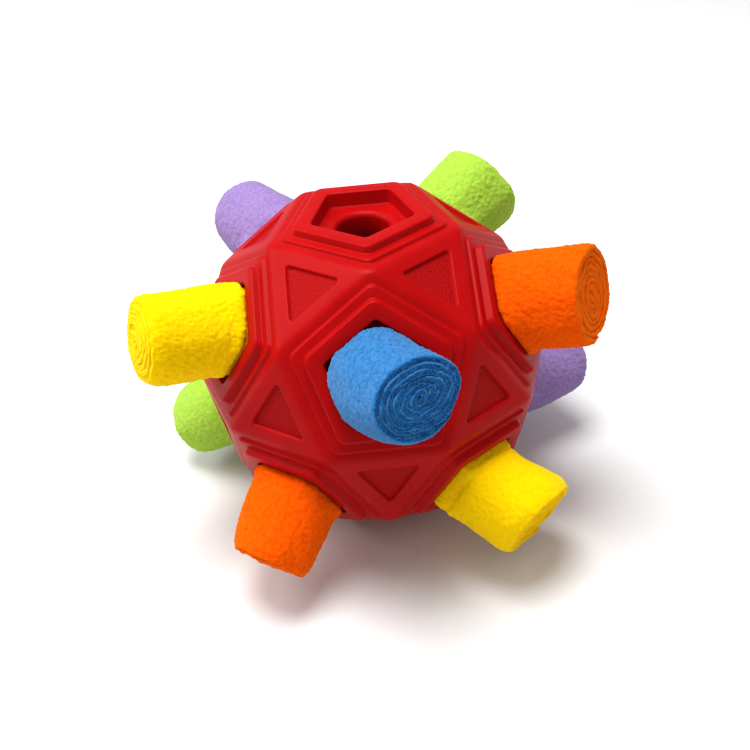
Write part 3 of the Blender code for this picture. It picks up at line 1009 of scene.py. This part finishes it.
def rubber():
    nodes = Nodes("red_rubber")
    place = nodes.position()
    stipple = nodes.attribute("stipple")
    wear = nodes.attribute("wear")
    broad = nodes.noise(place, *MOTTLE_NOISE)
    mottled = nodes.mix(nodes.ramp(broad, *RED_RAMP), *RUBBER_REDS)
    dulled = nodes.mix(nodes.math("MULTIPLY", stipple, STIPPLED_SHARE), mottled, STIPPLED_RED)
    rough = nodes.ramp(broad, *ROUGHNESS_RAMP)
    rough = nodes.math("ADD", rough, nodes.math("MULTIPLY", stipple, STIPPLE_ROUGHNESS))
    rough = nodes.math("SUBTRACT", rough, nodes.math("MULTIPLY", wear, WEAR_SMOOTHNESS))
    grain = nodes.bump(nodes.noise(place, *GRAIN_NOISE), GRAIN_STRENGTH, GRAIN_DEPTH)
    stippled = nodes.math("MULTIPLY", nodes.noise(place, *STIPPLE_NOISE), stipple)
    normal = nodes.bump(stippled, STIPPLE_STRENGTH, STIPPLE_DEPTH, grain)
    nodes.link(dulled, nodes.shader.inputs["Base Color"])
    nodes.link(rough, nodes.shader.inputs["Roughness"])
    nodes.link(normal, nodes.shader.inputs["Normal"])
    nodes.set(nodes.shader, Specular_IOR_Level=RUBBER_SPECULAR)
    return nodes.material


def fleece(colour):
    pile, shade, cut_colour, fuzz = FLEECE_COLOURS[colour]
    nodes = Nodes("fleece_" + colour)
    place = nodes.position()
    # The pile colour is mixed with its shaded copy: painted shade, at random between the fine tufts and
    # in the low points of the nap's relief
    tufts = nodes.ramp(nodes.noise(place, *TUFT_NOISE), *TUFT_RAMP)
    nap_shading = nodes.ramp(nodes.attribute("nap_shading"), *NAP_RAMP)
    tuft_shading_part = nodes.math("MULTIPLY", tufts, TUFT_SHADING_SHARE)
    nap_shading_part = nodes.math("MULTIPLY", nap_shading, NAP_SHADING_SHARE)
    pile_with_painted_shade = nodes.mix(nodes.math("ADD", tuft_shading_part, nap_shading_part), shade, pile)
    threads = nodes.ramp(nodes.noise(place, *THREAD_NOISE), *THREAD_RAMP)
    knitted = nodes.math("MULTIPLY", nodes.attribute("cut"), threads)
    curls = nodes.bump(nodes.noise(place, *CURL_NOISE), CURL_STRENGTH, CURL_DEPTH)
    nodes.link(nodes.mix(knitted, pile_with_painted_shade, cut_colour), nodes.shader.inputs["Base Color"])
    nodes.link(curls, nodes.shader.inputs["Normal"])
    nodes.set(nodes.shader, Roughness=FLEECE_ROUGHNESS, Specular_IOR_Level=FLEECE_SPECULAR,
              Sheen_Weight=SHEEN_WEIGHT, Sheen_Roughness=SHEEN_ROUGHNESS, Sheen_Tint=(*fuzz, 1.0))
    return nodes.material


# Camera, light and floor

CAMERA_AZIMUTH = radians(-2.233)
CAMERA_ELEVATION = radians(34.572)
CAMERA_ROLL = radians(-4.390)
CAMERA_DISTANCE = 0.3130
NEAR_CLIP = 0.01
# In pixels: the focal length, the frame's side, and the ball's centre from the top left corner
FOCAL_PIXELS = 1101.4
FRAME_PIXELS = 750
BALL_PIXEL = (372.4, 352.5)
# In millimetres, as Blender's lenses are
SENSOR = 36.0

ROOM_LIGHT = 0.51
# Name, place, size and power of each lamp, in metres and watts
LAMPS = (
    ("key", (-0.10, 0.02, 0.86), 0.50, 9.9),
    ("side", (-0.62, 0.12, 0.55), 0.60, 3.6),
)
FLOOR_REACH = 4.0
FLOOR_GAP = 0.0002
FLOOR_WHITE = 0.74
FLOOR_ROUGHNESS = 0.7


def camera():
    back = Vector((
        sin(CAMERA_AZIMUTH) * cos(CAMERA_ELEVATION),
        -cos(CAMERA_AZIMUTH) * cos(CAMERA_ELEVATION),
        sin(CAMERA_ELEVATION),
    ))
    right = Vector((cos(CAMERA_AZIMUTH), sin(CAMERA_AZIMUTH), 0.0))
    up = back.cross(right)
    turned_right = right * cos(CAMERA_ROLL) + up * sin(CAMERA_ROLL)
    turned_up = up * cos(CAMERA_ROLL) - right * sin(CAMERA_ROLL)
    data = bpy.data.cameras.new("camera")
    data.sensor_width = SENSOR
    data.lens = FOCAL_PIXELS / FRAME_PIXELS * SENSOR
    data.shift_x = (FRAME_PIXELS / 2 - BALL_PIXEL[0]) / FRAME_PIXELS
    data.shift_y = (BALL_PIXEL[1] - FRAME_PIXELS / 2) / FRAME_PIXELS
    data.clip_start = NEAR_CLIP
    obj = bpy.data.objects.new("camera", data)
    bpy.context.scene.collection.objects.link(obj)
    turn = Matrix((turned_right, turned_up, back)).transposed()
    obj.matrix_world = Matrix.Translation(back * CAMERA_DISTANCE) @ turn.to_4x4()
    bpy.context.scene.camera = obj


def lamp(name, place, size, power):
    data = bpy.data.lights.new(name, "AREA")
    data.shape = "DISK"
    data.size = size
    data.energy = power
    obj = bpy.data.objects.new(name, data)
    bpy.context.scene.collection.objects.link(obj)
    obj.location = place
    obj.rotation_euler = (-Vector(place)).to_track_quat("-Z", "Y").to_euler()


def studio():
    world = bpy.data.worlds.new("studio")
    bpy.context.scene.world = world
    world.use_nodes = True
    bpy.context.scene.view_settings.view_transform = "Standard"
    background = world.node_tree.nodes["Background"]
    background.inputs["Color"].default_value = (1.0, 1.0, 1.0, 1.0)
    background.inputs["Strength"].default_value = ROOM_LIGHT
    for settings in LAMPS:
        lamp(*settings)


def pale_floor():
    low = -RIM_PLANE - FLOOR_GAP
    signs = ((-1, -1), (1, -1), (1, 1), (-1, 1))
    mesh = bpy.data.meshes.new("floor")
    mesh.from_pydata([(a * FLOOR_REACH, b * FLOOR_REACH, low) for a, b in signs], [], [(0, 1, 2, 3)])
    obj = bpy.data.objects.new("floor", mesh)
    bpy.context.scene.collection.objects.link(obj)
    nodes = Nodes("floor_white")
    white = (FLOOR_WHITE, FLOOR_WHITE, FLOOR_WHITE, 1.0)
    nodes.set(nodes.shader, Base_Color=white, Roughness=FLOOR_ROUGHNESS)
    mesh.materials.append(nodes.material)


def build_shell():
    material = rubber()
    for name, node, side in (
        ("rubber_left_half", "shell_left_half", 1),
        ("rubber_right_half", "shell_right_half", -1),
    ):
        obj = shell_half(name, side)
        obj.data.materials.append(material)
        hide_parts(node)
        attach(obj, "ball")


def build_rolls():
    materials = {colour: fleece(colour) for colour in FLEECE_COLOURS}
    for number, shares in enumerate(ROLL_SHARES):
        form = dict(shares)
        name, colour, pocket = (form.pop(key) for key in ("name", "colour", "pocket"))
        roll = Roll(number, pocket[1], **form)
        obj = roll_object("fleece_strip_" + name, roll)
        place_on_panel(obj, direction(*pocket))
        obj.data.materials.append(materials[colour])
        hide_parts("fleece_roll_" + name)
        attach(obj, name + "_roll")


camera()
studio()
pale_floor()
build_shell()
build_rolls()
